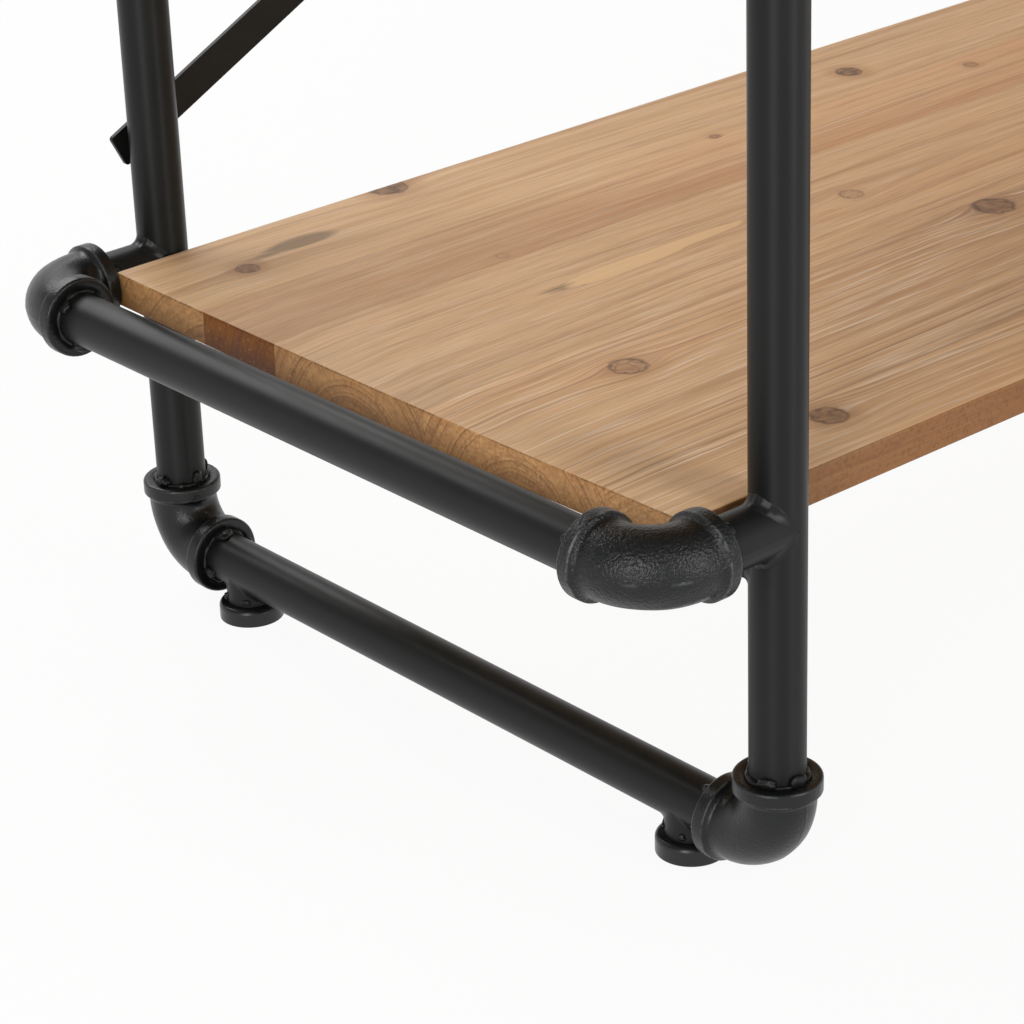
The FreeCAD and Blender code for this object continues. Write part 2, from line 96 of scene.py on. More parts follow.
# %% Two closed grids


def ring_grid(rows, columns):
    """Quads of a rows by columns grid whose last row meets its first, and columns alike."""
    number = np.arange(rows * columns).reshape(rows, columns)
    after, beside = np.roll(number, -1, 0), np.roll(number, -1, 1)
    both = np.roll(after, -1, 1)
    return np.stack([number, after, both, beside], -1).reshape(-1, 4)


def box_grid(steps):
    """Whole-number points on the skin of a box of cells, and the quads between them."""
    shape = np.array(steps) + 1
    points = np.indices(shape).reshape(3, -1).T
    skin = ((points == 0) | (points == shape - 1)).any(1)
    number = np.where(skin, np.cumsum(skin) - 1, -1).reshape(shape)
    sides = [number[0].T, number[-1], number[:, 0], number[:, -1].T,
             number[:, :, 0].T, number[:, :, -1]]
    quads = [np.stack([side[:-1, :-1], side[1:, :-1], side[1:, 1:], side[:-1, 1:]], -1)
             for side in sides]
    return points[skin], np.concatenate([side.reshape(-1, 4) for side in quads])


def outward(points, quads):
    """Quads that face out: turned over where the volume, summed from the origin, is negative."""
    first, second, third, fourth = (points[quads[:, side]] for side in range(4))
    volume = np.einsum("ij,ij->", first, np.cross(second, third) + np.cross(third, fourth))
    return quads if volume > 0 else quads[:, ::-1]


def join(shells):
    """Several closed surfaces as one, with the quads of each numbered on from the last."""
    starts = np.cumsum([0] + [len(points) for points, quads in shells])
    points = np.concatenate([points for points, quads in shells])
    quads = np.concatenate([shell[1] + start for shell, start in zip(shells, starts)])
    return points, quads


def add_piece(name, shell, material, attributes=None, stands_for=()):
    """Mesh at the origin from points in millimetres, which rides on the frame."""
    points, quads = shell
    mesh = bpy.data.meshes.new(name)
    mesh.from_pydata(points * MM, [], quads.tolist())
    mesh.polygons.foreach_set("use_smooth", np.ones(len(quads), bool))
    for label, values in (attributes or {}).items():
        kind, field = ("FLOAT_VECTOR", "vector") if values.ndim == 2 else ("FLOAT", "value")
        data = mesh.attributes.new(label, kind, "POINT").data
        data.foreach_set(field, values.astype(np.float32).ravel())
    mesh.materials.append(material)
    piece = bpy.data.objects.new(name, mesh)
    bpy.context.scene.collection.objects.link(piece)
    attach(piece, "frame")
    if stands_for:
        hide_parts(*stands_for)
    return piece


# %% [markdown]
# Materials are node trees. Colours are written as the sRGB hex values that a colour picker shows,
# and one function turns them to the linear values that light needs. Pattern sizes are real
# millimetres: a noise of size 3 has lumps about 3 mm apart.

# %% Material helpers


def linear(code):
    """Linear red, green, blue and alpha of a hex colour, by the sRGB curve."""
    srgb = np.array([int(code[start:start + 2], 16) for start in (1, 3, 5)]) / 255
    value = np.where(srgb <= 0.04045, srgb / 12.92, ((srgb + 0.055) / 1.055) ** 2.4)
    return (*value.tolist(), 1.0)


def per_metre(size):
    """Texture scale on coordinates in metres for a pattern of a size in millimetres."""
    return 1 / (size * MM)


def connect(target, inputs):
    """Give a node its inputs, by name or number. Each is a value, a socket, or a node whose first
    output is meant."""
    for key, value in inputs.items():
        source = value.outputs[0] if isinstance(value, bpy.types.Node) else value
        if isinstance(source, bpy.types.NodeSocket):
            target.id_data.links.new(source, target.inputs[key])
        else:
            target.inputs[key].default_value = source


def add_node(tree, kind, inputs=(), **settings):
    """Add a shader node with its settings, and its inputs by name or number or in order."""
    made = tree.nodes.new("ShaderNode" + kind)
    for name, value in settings.items():
        setattr(made, name, value)
    connect(made, inputs if isinstance(inputs, dict) else dict(enumerate(inputs)))
    return made


def new_material(name):
    """An empty material, a function that adds nodes to it, and its shader."""
    material = bpy.data.materials.new(name)
    material.use_nodes = True
    tree = material.node_tree
    return material, partial(add_node, tree), tree.nodes["Principled BSDF"]


# %% [markdown]
# The tubes, flat bars and bearers are steel with a black polyester powder coat. The powder melts
# in the oven and stays slightly wavy, the orange peel of about a millimetre that breaks up the
# edges of a reflection. The film is satin and almost without colour, with a faint drift in gloss.
# On the posts each highlight is drawn out into an upright band, as it is where a polishing belt has
# left fine lines round a tube, so their gloss is anisotropic, with the axis of the post as tangent.

# %% Powder coated steel
PEEL, PEEL_DEPTH = 1.3, 0.05
DRIFT, GLOSS_DRIFT = 70.0, 0.14


def cloudy_finish(name, patch, tones, gloss, constants):
    """A finish that drifts, in patches of a size, between two tones and two roughnesses, with other
    constants of the shader."""
    material, node, shader = new_material(name)
    where = node("TexCoord").outputs["Object"]
    cloud = node("TexNoise", {"Vector": where, "Scale": per_metre(patch), "Detail": 3})
    tint = node("Mix", {0: cloud, 6: linear(tones[0]), 7: linear(tones[1])}, data_type="RGBA")
    rough = node("MapRange", [cloud, 0, 1, *gloss])
    connect(shader, {"Base Color": tint.outputs[2], "Roughness": rough, **constants})
    return material, node, shader


def powder_coated_steel(name, gloss, polish=0.0):
    """Black polyester powder coat, baked on steel; gloss is the lowest roughness, and polish draws
    highlights out along the vertical."""
    material, node, shader = cloudy_finish(name, DRIFT, ("#0f100f", "#181a18"),
                                           (gloss, gloss + GLOSS_DRIFT),
                                           {"Specular IOR Level": 0.22, "Anisotropic": polish})
    where = node("TexCoord").outputs["Object"]
    peel = node("TexNoise", {"Vector": where, "Scale": per_metre(PEEL), "Detail": 1})
    bump = node("Bump", {"Height": peel, "Strength": 0.25, "Distance": PEEL_DEPTH * MM})
    connect(shader, {"Normal": bump})
    if polish:
        connect(shader, {"Tangent": node("CombineXYZ", [0, 0, 1])})
    return material


powder_coat = powder_coated_steel("powder_coated_steel", 0.33)
post_coat = powder_coated_steel("powder_coated_polished_steel", 0.36, 0.7)
coated_bead = powder_coated_steel("powder_coated_weld_bead", 0.24)
print("powder coat with an orange peel of", PEEL, "mm")

# %% [markdown]
# The elbows are malleable iron, cast in sand and dipped in black enamel. The sand leaves a skin
# of small pebbles that sparkles where a lamp reflects in it, and handling rubs the enamel thin on
# the parting seam. The edges of the bands get a lighter tint too, a painted highlight of the light
# that a sharp edge catches. Both follow an attribute of the mesh that carries wear and glint,
# because only the shape knows where its edges are. Castings of different batches are more or less
# pebbled, which a second attribute, grit, carries.

# %% Malleable iron
PEBBLE, SAND, SKIN_DEPTH = 1.5, 0.8, 0.55
SCUFF = 7.0


def malleable_iron():
    """Black enamel over sand-cast iron, pebbled, and lighter grey where the wear and glint
    attribute
    is near 1: rubbed enamel on the seam, a painted highlight on the band edges.
    """
    material, node, shader = new_material("enamelled_malleable_iron")
    where = node("TexCoord").outputs["Object"]
    pebble, sand, scuff = (
        node("TexNoise", {"Vector": where, "Scale": per_metre(size), "Detail": detail})
        for size, detail in ((PEBBLE, 1), (SAND, 1), (SCUFF, 4)))
    skin = node("Math", [sand, 0.5, pebble], operation="MULTIPLY_ADD")
    wear_and_glint = node("Attribute", attribute_name="wear_and_glint").outputs["Fac"]
    # The lighter tint is rubbed enamel on the seam and a painted highlight on the band edges
    rubbed_and_glint = node("MapRange", [scuff, 0.4, 0.64, 0.0, wear_and_glint])
    tint = node("Mix", {0: rubbed_and_glint, 6: linear("#0d0f0e"), 7: linear("#5c605d")}, data_type="RGBA")
    rough = node("MapRange", [scuff, 0, 1, 0.24, 0.38])
    grit = node("Attribute", attribute_name="grit").outputs["Fac"]
    bump = node("Bump", {"Height": skin, "Strength": grit, "Distance": SKIN_DEPTH * MM})
    connect(shader, {"Base Color": tint.outputs[2], "Roughness": rough, "Normal": bump,
                     "Specular IOR Level": 0.35})
    return material


iron = malleable_iron()
print("cast skin with pebbles of", PEBBLE, "mm")

# %% [markdown]
# Two small finishes remain. The glides are nylon, moulded in a polished tool, so they are smooth
# and the glossiest black here, with a slight haze from the flow. Bolts, nuts, screws and studs are
# steel with a thin bright zinc plating, a metal that shows fine cloudy patches.

# %% Nylon and zinc
HAZE, CLOUDING = 9.0, 2.0

nylon = cloudy_finish("moulded_nylon", HAZE, ("#101111", "#181918"), (0.2, 0.36),
                      {"Specular IOR Level": 0.4})[0]
zinc = cloudy_finish("zinc_plated_steel", CLOUDING, ("#a9adb0", "#cfd2d3"), (0.26, 0.42),
                     {"Metallic": 1.0})[0]
FINISHES = {"powder_coated_steel": powder_coat, "glide_nylon": nylon, "zinc_steel": zinc}
for part in frame["record"]["subparts"]:
    finish = FINISHES.get(part["material_slot"])
    if part["node"].endswith("_post"):
        finish = post_coat
    if finish:
        nodes[part["node"]].material_slots[0].material = finish
print("finishes on all solids of", ", ".join(FINISHES))

# %% [markdown]
# An elbow is a thick pipe bent through a right angle, with a raised band round each mouth and a
# socket that the tube slides into. It could be a bevelled curve, but its wall changes along the
# way, so it is worked out as a closed outline of the wall, carried round and along the bend. A
# ridge stands where the two halves of the mould met, and slow waves keep the surface from being
# perfect, as on any casting.

# %% The wall of an elbow
REACH, BEND = 38.0, 27.0
BODY_RADIUS, BAND_RADIUS = 19.35, 22.15
BAND_WIDTH, BAND_SLOPE, BAND_ROUND = 7.5, 3.0, 1.6
SOCKET_RADIUS, SOCKET_DEPTH, MOUTH_CHAMFER = 15.25, 16.0, 0.8
BORE_RADIUS = 12.5
SLOPE_HOLLOW = 1.7
BODY_STEPS, BORE_STEPS = 34, 12
# Painted highlight, a lighter tint: a little on the round of a band, and most on its inner edge,
# where a sharp edge catches the light
GLINT_ROUND, GLINT_EDGE = 0.3, 1.0
STRAIGHT = REACH - BEND
ARC = BEND * math.pi / 2
PATH = 2 * STRAIGHT + ARC


def wall_outline():
    """Distance from the first mouth and radius, round the wall: out over the band of one mouth,
    along the body to the other mouth, and back through sockets and bore; and the painted highlight
    of each, a lighter tint on the edges of the bands."""
    turn = np.linspace(0, math.pi / 2, 6)
    fall = np.linspace(0, 1, 7)
    far = np.concatenate([[0], BAND_ROUND * (1 - np.cos(turn)), [BAND_WIDTH - 1, BAND_WIDTH - 0.35],
                          BAND_WIDTH + BAND_SLOPE * fall])
    slope = (BAND_RADIUS - BODY_RADIUS) * (1 - fall) ** SLOPE_HOLLOW
    radius = np.concatenate([[SOCKET_RADIUS + MOUTH_CHAMFER],
                             BAND_RADIUS - BAND_ROUND * (1 - np.sin(turn)),
                             [BAND_RADIUS, BAND_RADIUS], BODY_RADIUS + slope])
    wear_and_glint = np.zeros(len(far))
    wear_and_glint[4:6] = GLINT_ROUND
    wear_and_glint[8:10] = GLINT_EDGE
    body = np.linspace(far[-1], PATH - far[-1], BODY_STEPS)[1:-1]
    bore = np.linspace(PATH - SOCKET_DEPTH, SOCKET_DEPTH, BORE_STEPS)
    back_far = np.concatenate([[PATH - MOUTH_CHAMFER, PATH - SOCKET_DEPTH], bore,
                               [SOCKET_DEPTH, MOUTH_CHAMFER]])
    socket = [SOCKET_RADIUS, SOCKET_RADIUS]
    back_radius = np.concatenate([socket, np.full(BORE_STEPS, BORE_RADIUS), socket])
    far = np.concatenate([far, body, PATH - far[::-1], back_far])
    radius = np.concatenate([radius, np.full(len(body), BODY_RADIUS), radius[::-1], back_radius])
    wear_and_glint = np.concatenate([wear_and_glint, np.zeros(len(body)), wear_and_glint[::-1], np.zeros(len(back_far))])
    return far, radius, wear_and_glint, len(far) - len(back_far)


far, radius, edge_glint, outer_count = wall_outline()
print(len(far), "points round the wall,", outer_count, "of them outside")

# %% Bend the wall round a corner
SEAM_HEIGHT, SEAM_WIDTH = 0.13, 0.65
# Height, count round the wall and length along it of each slow wave
WAVES = ((0.05, 2, 7.0), (0.05, 3, -5.0), (0.03, 5, 3.0))
DASHES = (1.9, 3.1)
seam_side = np.array([-3, -1.8, -1.2, -0.8, -0.4, 0, 0.4, 0.8, 1.2, 1.8, 3]) / BODY_RADIUS
flank = np.linspace(seam_side[-1], math.pi + seam_side[0], 24)[1:-1]
around = np.concatenate([seam_side, flank, math.pi + seam_side, math.pi + flank])


def elbow_shell(rng):
    """Points of an elbow with mouths along +X and +Y: the centre line runs straight, round a
    quarter circle and straight again; each point lies out from it by the radius, turned by the
    angle round the wall. The seam adds a bell curve at the outer and inner side of the bend, and is
    rubbed in dashes."""
    turn = np.clip((far - STRAIGHT) / BEND, 0, math.pi / 2)
    out = np.stack([-np.sin(turn), -np.cos(turn), 0 * turn], -1)
    centre = np.array([BEND, BEND, 0]) + BEND * out
    centre[:, 0] += np.maximum(STRAIGHT - far, 0)
    centre[:, 1] += np.maximum(far - STRAIGHT - ARC, 0)
    outside = (np.arange(len(far)) < outer_count)[:, None]
    seam = np.exp(-(BODY_RADIUS * np.sin(around) / SEAM_WIDTH) ** 2)
    on_body = np.clip((BAND_RADIUS - radius) / (BAND_RADIUS - BODY_RADIUS), 0.25, 1)[:, None]
    phase = rng.uniform(0, 2 * math.pi, 4)
    wave = sum(height * np.sin(count * around + far[:, None] / length + start)
               for (height, count, length), start in zip(WAVES, phase))
    rough = radius[:, None] + outside * (wave + SEAM_HEIGHT * seam * on_body)
    points = (centre[:, None] + rough[..., None] * np.cos(around)[:, None] * out[:, None]
              + rough[..., None] * np.sin(around)[:, None] * np.array([0, 0, 1]))
    rubs = np.sin(far / DASHES[0] + phase[3]) + np.sin(far / DASHES[1] + phase[0])
    dashes = np.clip(rubs - 0.5, 0, 1)[:, None]
    # Painted highlight on the band edges, with rubbed dashes on the seam
    wear_and_glint = np.clip(edge_glint[:, None] + dashes * seam * on_body * outside, 0, 1)
    return points.reshape(-1, 3), wear_and_glint.ravel()


elbow_quads = ring_grid(len(far), len(around))
print(2 * len(elbow_quads), "triangles in an elbow")

# %% [markdown]
# Twenty elbows stand at the corners of the frame. Each is named for its place, takes the place of
# the plain solid of that name, and gets its own waves from a numbered random source. The front
# rail elbows are from the coarser batch, where handling shows more. They also get the full painted
# highlight on their band edges, and the others a weaker one.

# %% Place the elbows
COARSE_GRIT, FINE_GRIT = 0.9, 0.3
FINE_WEAR_AND_GLINT = 0.5


def elbow_places():
    """Name, corner, and directions of the two mouths of every elbow."""
    for end, x in ENDS.items():
        for side, y in SIDES.items():
            inward = np.array([0, -y, 0])
            spots = {"foot": (POST_X, FOOT_Z, (0, 0, 1)), "top": (POST_X, TOP_Z, (0, 0, -1))}
            spots.update({f"{tier}_rail": (RAIL_X, TIER_Z[tier], (-x, 0, 0)) for tier in TIERS})
            for spot, (across, height, mouth) in spots.items():
                yield (f"{side}_{end}_{spot}_elbow", np.array([x * across, y * POST_Y, height]),
                       np.array(mouth), inward)


for number, (name, corner, mouth, inward) in enumerate(elbow_places()):
    local, wear_and_glint = elbow_shell(np.random.default_rng(100 + number))
    points = local @ np.stack([mouth, inward, np.cross(mouth, inward)]) + corner
    shell = (points, outward(points - corner, elbow_quads))
    coarse = "front" in name and "rail" in name
    grit = np.full(len(wear_and_glint), COARSE_GRIT if coarse else FINE_GRIT)
    # The other elbows get less wear and a weaker painted highlight on their band edges
    wear_and_glint = wear_and_glint if coarse else FINE_WEAR_AND_GLINT * wear_and_glint
    add_piece(f"cast_{name}", shell, iron, {"wear_and_glint": wear_and_glint, "grit": grit}, [name])
print(number + 1, "castings")

# %% [markdown]
# The frame is welded. A tube that enters an elbow is held by a few tacks, lumps of weld metal that
# bridge the narrow gap round it, and paint fills the gap between them. A tack is the skin of a
# cube blown up to a ball, stretched along, out from and round the tube, and dented by crossed
# waves. The filled gap is a thin ring of uneven thickness.

# %% Tack welds
TACKS = 4
TACK_SIZE = np.array([5.0, 3.2, 4.4])
TACK_PROUD, TACK_OUT = 1.9, 0.9
DENT = 0.09
JITTER = 0.3
RING_THICK, RING_LUMP, RING_SUNK = 1.5, 0.17, 0.3
ball_points, ball_quads = box_grid((6, 6, 6))
ball = ball_points / 3 - 1
ball = ball / np.linalg.norm(ball, axis=1, keepdims=True)
ring_turn = np.linspace(0, 2 * math.pi, 60, endpoint=False)[:, None]
ring_tube = np.linspace(0, 2 * math.pi, 8, endpoint=False)


def add_welds(name, shells):
    """Several beads as one coated piece."""
    add_piece(name, join(shells), coated_bead)
    print(name, "of", len(shells), "shells")


def spread_angles(rng, count):
    """Angles evenly round a tube, each moved a little."""
    return np.arange(count) * 2 * math.pi / count + rng.uniform(-JITTER, JITTER, count)


def tack(rng, base, along, out, half_sizes):
    """Ball of three half sizes, along the tube, out from it and round it, with dents."""
    size = half_sizes * rng.uniform(0.5, 1.2, 3)
    dents = [np.sin(4 * ball @ rng.normal(size=3) + rng.uniform(0, 6)) for repeat in range(3)]
    lump = ball * size * (1 + DENT * sum(dents))[:, None]
    points = lump @ np.stack([along, out, np.cross(along, out)]) + base
    return points, outward(points - base, ball_quads)


def filled_gap(rng, mouth, along, beside):
    """Ring about the tube at a mouth: a circle of small radius carried round a large one."""
    third = np.cross(along, beside)
    lumps = sum(np.sin(count * ring_turn + rng.uniform(0, 6)) for count in (3, 7, 11))
    thick = RING_THICK * (1 + RING_LUMP * lumps)
    out = np.cos(ring_turn)[..., None] * beside + np.sin(ring_turn)[..., None] * third
    wide = (TUBE_RADIUS + SOCKET_RADIUS) / 2 + thick * np.cos(ring_tube)
    high = thick * np.sin(ring_tube) - RING_SUNK
    points = (mouth + wide[..., None] * out + high[..., None] * along).reshape(-1, 3)
    return points, outward(points - mouth, ring_grid(len(ring_turn), len(ring_tube)))


tacks = {end: [] for end in ENDS}
rng = np.random.default_rng(7)
for name, corner, mouth, inward in elbow_places():
    shells = tacks["left" if corner[0] < 0 else "right"]
    for along, beside in ((mouth, inward), (inward, mouth)):
        face = corner + along * REACH
        shells.append(filled_gap(rng, face, along, beside))
        spread = spread_angles(rng, TACKS)
        for angle in rng.uniform(0, 6) + spread:
            out = math.cos(angle) * beside + math.sin(angle) * np.cross(along, beside)
            base = face + TACK_PROUD * along + out * (TUBE_RADIUS + TACK_OUT)
            shells.append(tack(rng, base, along, out, TACK_SIZE))
for end, shells in tacks.items():
    add_welds(f"{end}_tack_welds", shells)

# %% [markdown]
# Stubs, bosses and bearers are welded all along where they meet a tube. Such a fillet weld is a
# strip that leaves one surface a few millimetres from the corner, swings past it, and lands on the
# other. So it is drawn from three lines: the corner itself, and a line on each surface. The
# welder's steps show as uneven lumps a few millimetres apart, drowned in paint.

# %% A fillet weld
RIPPLES = (4.1, 6.7, 11.3)
RAGGED_SIDE = 0.1
LUMP = 0.14
HOLLOW = 0.2
STATIONS, ACROSS = 60, 8
SUNK = 0.4
RIM_SUNK = 0.3
strip_points, strip_quads = box_grid((STATIONS, ACROSS, 1))
station, layer = strip_points[:, 0], strip_points[:, 2:]
cut = strip_points[:, 1:2] / ACROSS
share = np.linspace(0, 1, STATIONS + 1)
sine, cosine = np.sin(math.pi * share), np.cos(math.pi * share)
fade = sine[:, None]


def fillet(rng, corner, first, second):
    """Strip from a line on one surface to a line on the other, with its corner between them. The
    top is a parabola whose middle point lies between corner and chord, plus lumps that fade at
    its ends, and its rims dip under both surfaces; the bottom follows the corner, just under it."""
    step = np.linalg.norm(np.diff(corner, axis=0), axis=1)
    length = np.concatenate([[0], np.cumsum(step)])[:, None]
    ripples = [np.sin(2 * math.pi * length / size + rng.uniform(0, 6)) for size in RIPPLES]
    ripple = sum(ripples) / len(RIPPLES)
    ragged = 1 + RAGGED_SIDE * ripple * fade
    first, second = (first - corner) * ragged, (second - corner) * ragged
    lean = first + second
    leg = np.linalg.norm(lean, axis=1, keepdims=True)
    lean = lean / leg
    pull = cut * (1 - cut) * (HOLLOW * leg[station] + 4 * LUMP * ripple[station] * fade[station])
    pull = pull - RIM_SUNK * (2 * cut - 1) ** 8
    top = (1 - cut) ** 2 * first[station] + cut ** 2 * second[station] + pull * lean[station]
    near_first, near_second = np.clip(1 - 2 * cut, 0, 1), np.clip(2 * cut - 1, 0, 1)
    bottom = near_first * first[station] + near_second * second[station] - SUNK * lean[station]
    points = corner[station] + np.where(layer == 1, top, bottom)
    return points, outward(points - points.mean(0), strip_quads)


def columns(x, y, z):
    """Points from coordinates that may be numbers or whole arrays."""
    return np.stack(np.broadcast_arrays(x, y, z), -1).astype(float)


print(2 * len(strip_quads), "triangles in a fillet")

# %% Fillets round the stubs and bosses
STUB_LEG, BOSS_LEG = 5.5, 3.4
THIN_END = 0.12
DROPS = 7
DROP_SIZE = np.array([2.3, 1.5, 3.0])
DROP_HEIGHT = 3.2
swell = THIN_END + (1 - THIN_END) * np.sqrt(sine)


def stub_fillets(rng, root, outer):
    """The two halves round a stub on a post of the same radius. Cut at one depth, the post is an
    upright line and the stub a level one, and they meet as far out as they are high."""
    leg = STUB_LEG * swell
    for up in (1, -1):
        flat, high = outer * TUBE_RADIUS * sine, up * TUBE_RADIUS * sine
        depth = TUBE_RADIUS * cosine
        yield fillet(rng, root + columns(flat, depth, high),
                     root + columns(flat, depth, high + up * leg),
                     root + columns(flat + outer * leg, depth, high))


def boss_fillets(rng, centre, boss_radius):
    """The two halves between a boss and the underside of the rail: cut at one distance to the
    side, the boss is an upright line and the rail a level one."""
    leg = BOSS_LEG * swell
    aside = boss_radius * cosine
    under = -np.sqrt(TUBE_RADIUS ** 2 - aside ** 2)
    for way in (1, -1):
        depth = way * boss_radius * sine
        yield fillet(rng, centre + columns(aside, depth, under),
                     centre + columns(aside, depth, under - leg),
                     centre + columns(aside, depth + way * leg, under))


def boss_drops(rng, foot, boss_radius):
    """Drops of weld that ran down a boss, spread round it near its foot."""
    up = np.array([0.0, 0.0, 1.0])
    for angle in spread_angles(rng, DROPS):
        out = np.array([math.cos(angle), math.sin(angle), 0])
        yield tack(rng, foot + boss_radius * out + DROP_HEIGHT * up, up, out, DROP_SIZE)


boss_low, boss_high = corners_mm("glide_bosses")
BOSS_RADIUS = boss_high[0] - POST_X
GLIDE_Y = middle_mm("back_right_glide_pad")[1]
for end, x in ENDS.items():
    stubs, bosses, drops = [], [], []
    for tier in TIERS:
        for y in SIDES.values():
            stubs += stub_fillets(rng, np.array([x * POST_X, y * POST_Y, TIER_Z[tier]]), x)
    for y in SIDES.values():
        bosses += boss_fillets(rng, np.array([x * POST_X, y * GLIDE_Y, FOOT_Z]), BOSS_RADIUS)
    for y in SIDES.values():
        drops += boss_drops(rng, np.array([x * POST_X, y * GLIDE_Y, boss_low[2]]), BOSS_RADIUS)
    add_welds(f"{end}_stub_welds", stubs)
    add_welds(f"{end}_boss_welds", bosses + drops)

# %% Fillets at the ends of the bearers
BEARER_LEG = 3.0
BEARER_INSET, UNDER_INSET = 0.04, 0.05
bearer_low, bearer_high = corners_mm("lower_shelf_bearers")
BEARER_HALF = bearer_high[0] - POST_X
BEARER_DROP = TIER_Z["lower"] - bearer_low[2]
BEARER_HEIGHT = bearer_high[2] - bearer_low[2]


def on_post(angle, inward, height):
    """Points on the skin of a post, turned by an angle from the inward direction."""
    return columns(TUBE_RADIUS * np.sin(angle), inward * TUBE_RADIUS * np.cos(angle), height)


def bearer_fillets(rng, post, inward):
    """Down both sides of a bearer and along its lower edge, against the round post."""
    edge = math.asin(BEARER_HALF / TUBE_RADIUS)
    height = BEARER_HEIGHT * (BEARER_INSET + (1 - 2 * BEARER_INSET) * share) - BEARER_DROP
    for side in (-1, 1):
        corner = on_post(side * edge, inward, height)
        along = corner + np.array([0, inward * BEARER_LEG, 0])
        yield fillet(rng, post + corner, post + along,
                     post + on_post(side * (edge + BEARER_LEG / TUBE_RADIUS), inward, height))
    corner = on_post(edge * (1 - UNDER_INSET) * (2 * share - 1), inward, -BEARER_DROP)
    yield fillet(rng, post + corner, post + corner + np.array([0, inward * BEARER_LEG, 0]),
                 post + corner - np.array([0, 0, BEARER_LEG]))


for tier in TIERS:
    fillets = []
    for x in ENDS.values():
        for y in SIDES.values():
            post = np.array([x * POST_X, y * POST_Y, TIER_Z[tier]])
            fillets += bearer_fillets(rng, post, -y)
    add_welds(f"{tier}_bearer_welds", fillets)

# %% [markdown]
# A shelf is fir, glued up from staves that come from different trees. Wood could be painted on
# with stretched noise, but then the top, the edge and the end would not agree. Here each point
# of the board carries its place in its own log: how far along the trunk, and how far from the
# pith. The rings are then the same rings on every face, arcs on the end and flames on the top.

# %% The skin of a board
board_low, board_high = corners_mm("lower_shelf")
BOARD = board_high - board_low
TOP_ROUND, LOWER_ROUND = 1.3, 0.5
# Share by which the upper edge's radius drifts, and how slowly, along and across
ROUND_DRIFT, SANDED = 0.3, (61.0, 37.0)
JOINT_DEPTH, JOINT_HALF = 0.12, 0.12
GRID_ALONG, GRID_ACROSS, GRID_UP = 5.4, 2.6, 2.8
OVERHANG = BOARD[0] / 2 - POST_X - BEARER_HALF
DROOP = 1.8


def stations(size, step):
    """Places from 0 to size about a step apart, with two closer ones at each rounded edge."""
    ease = TOP_ROUND * np.array([0, 0.45])
    inner = np.linspace(TOP_ROUND, size - TOP_ROUND, round(size / step) + 1)
    return np.concatenate([ease, inner, size - ease[::-1]])


def board_skin(joints, rng):
    """Distances from the left end, the back edge and the top, on the skin of a board. Points near
    an edge move to a sphere of the edge's radius about the inner box, which rounds it; the radius
    drifts along the top edges as hand sanding leaves it. A hairline groove marks a glue joint. Past
    the bearers the ends, which dry first, have cupped and droop a little in the middle."""
    rows = stations(BOARD[1], GRID_ACROSS)
    for joint in joints:
        rows = rows[np.abs(rows - joint) > 3 * JOINT_HALF]
        rows = np.concatenate([rows, joint + JOINT_HALF * np.array([-1, 0, 1])])
    axes = [stations(BOARD[0], GRID_ALONG), np.sort(rows), stations(BOARD[2], GRID_UP)]
    index, quads = box_grid([len(axis) - 1 for axis in axes])
    points = np.stack([axis[index[:, side]] for side, axis in enumerate(axes)], -1)
    drifts = [np.sin(points[:, side] / length + rng.uniform(0, 6))
              for side, length in enumerate(SANDED)]
    top_edge = TOP_ROUND * (1 + ROUND_DRIFT * drifts[0] * drifts[1])
    edge = np.where(points[:, 2] < BOARD[2] / 2, top_edge, LOWER_ROUND)[:, None]
    inner = np.clip(points, edge, BOARD - edge)
    away = points - inner
    rounded = inner + edge * away / np.maximum(np.linalg.norm(away, axis=1, keepdims=True), 1e-9)
    nearest = np.abs(rounded[:, 1:2] - np.array(joints)).min(1)
    groove = JOINT_DEPTH * np.clip(1 - nearest / JOINT_HALF, 0, 1)
    rounded[:, 2] += groove * np.sign(BOARD[2] / 2 - rounded[:, 2])
    past = np.clip(1 - np.minimum(points[:, 0], BOARD[0] - points[:, 0]) / OVERHANG, 0, 1)
    cup = 1 - (2 * points[:, 1] / BOARD[1] - 1) ** 2
    rounded[:, 2] += DROOP * past ** 2 * (3 - 2 * past) * cup
    return rounded, quads, points


# %% [markdown]
# The lower board follows the photograph: five staves, the pith of each under or beside it, and the
# knots where they show. The other boards are of the same kind, with staves and knots drawn from a
# numbered random source.

# %% Staves and knots
LOWER_JOINTS = [80.0, 142.0, 263.0, 395.0]
# Pith of each stave: from the back edge, and below the top
LOWER_PITHS = [(112.0, 78.0), (176.0, 34.0), (205.0, 44.0), (334.0, 44.0), (470.0, 74.0)]
# Lightness, redness and strength of the rings at the back and at the front of each stave, and the
# lightness that it loses on the way to the middle of the board. Where that loss is positive, the
# lighter left end is a painted sheen, as a lamp's reflection shows it; the rest is the stave's
# tone.
LOWER_TONES = [((0.04, -0.2, 0.45), (0.04, -0.05, 0.45), 0.05),
               ((-0.22, 0.18, 0.45), (-0.5, 0.38, 0.5), -0.5),
               ((-0.1, -0.06, 0.35), (-0.1, -0.04, 0.55), -0.02),
               ((0.55, -0.04, 0.9), (0.42, 0.02, 1.0), 0.85),
               ((0.4, 0.04, 1.0), (0.52, 0.04, 1.0), 0.6)]
# Knots: from the left end, from the back edge, radius, darkness
LOWER_KNOTS = [(54, 48.5, 6.5, 0.75), (190, 3, 11.5, 1.0), (384, 77, 3.5, 0.6), (529, 49, 8, 1.0),
               (592, 95, 4.5, 0.4), (164, 135, 4, 0.12), (367, 205, 7, 0.25), (408, 276, 12, 0.75),
               (106, 298, 10, 0.3), (132, 413, 9.5, 0.85), (720, 172, 8, 0.8), (810, 335, 10, 0.6),
               (905, 60, 6, 0.9), (962, 246, 8, 0.7), (760, 424, 7, 0.8), (1010, 360, 5, 0.6)]


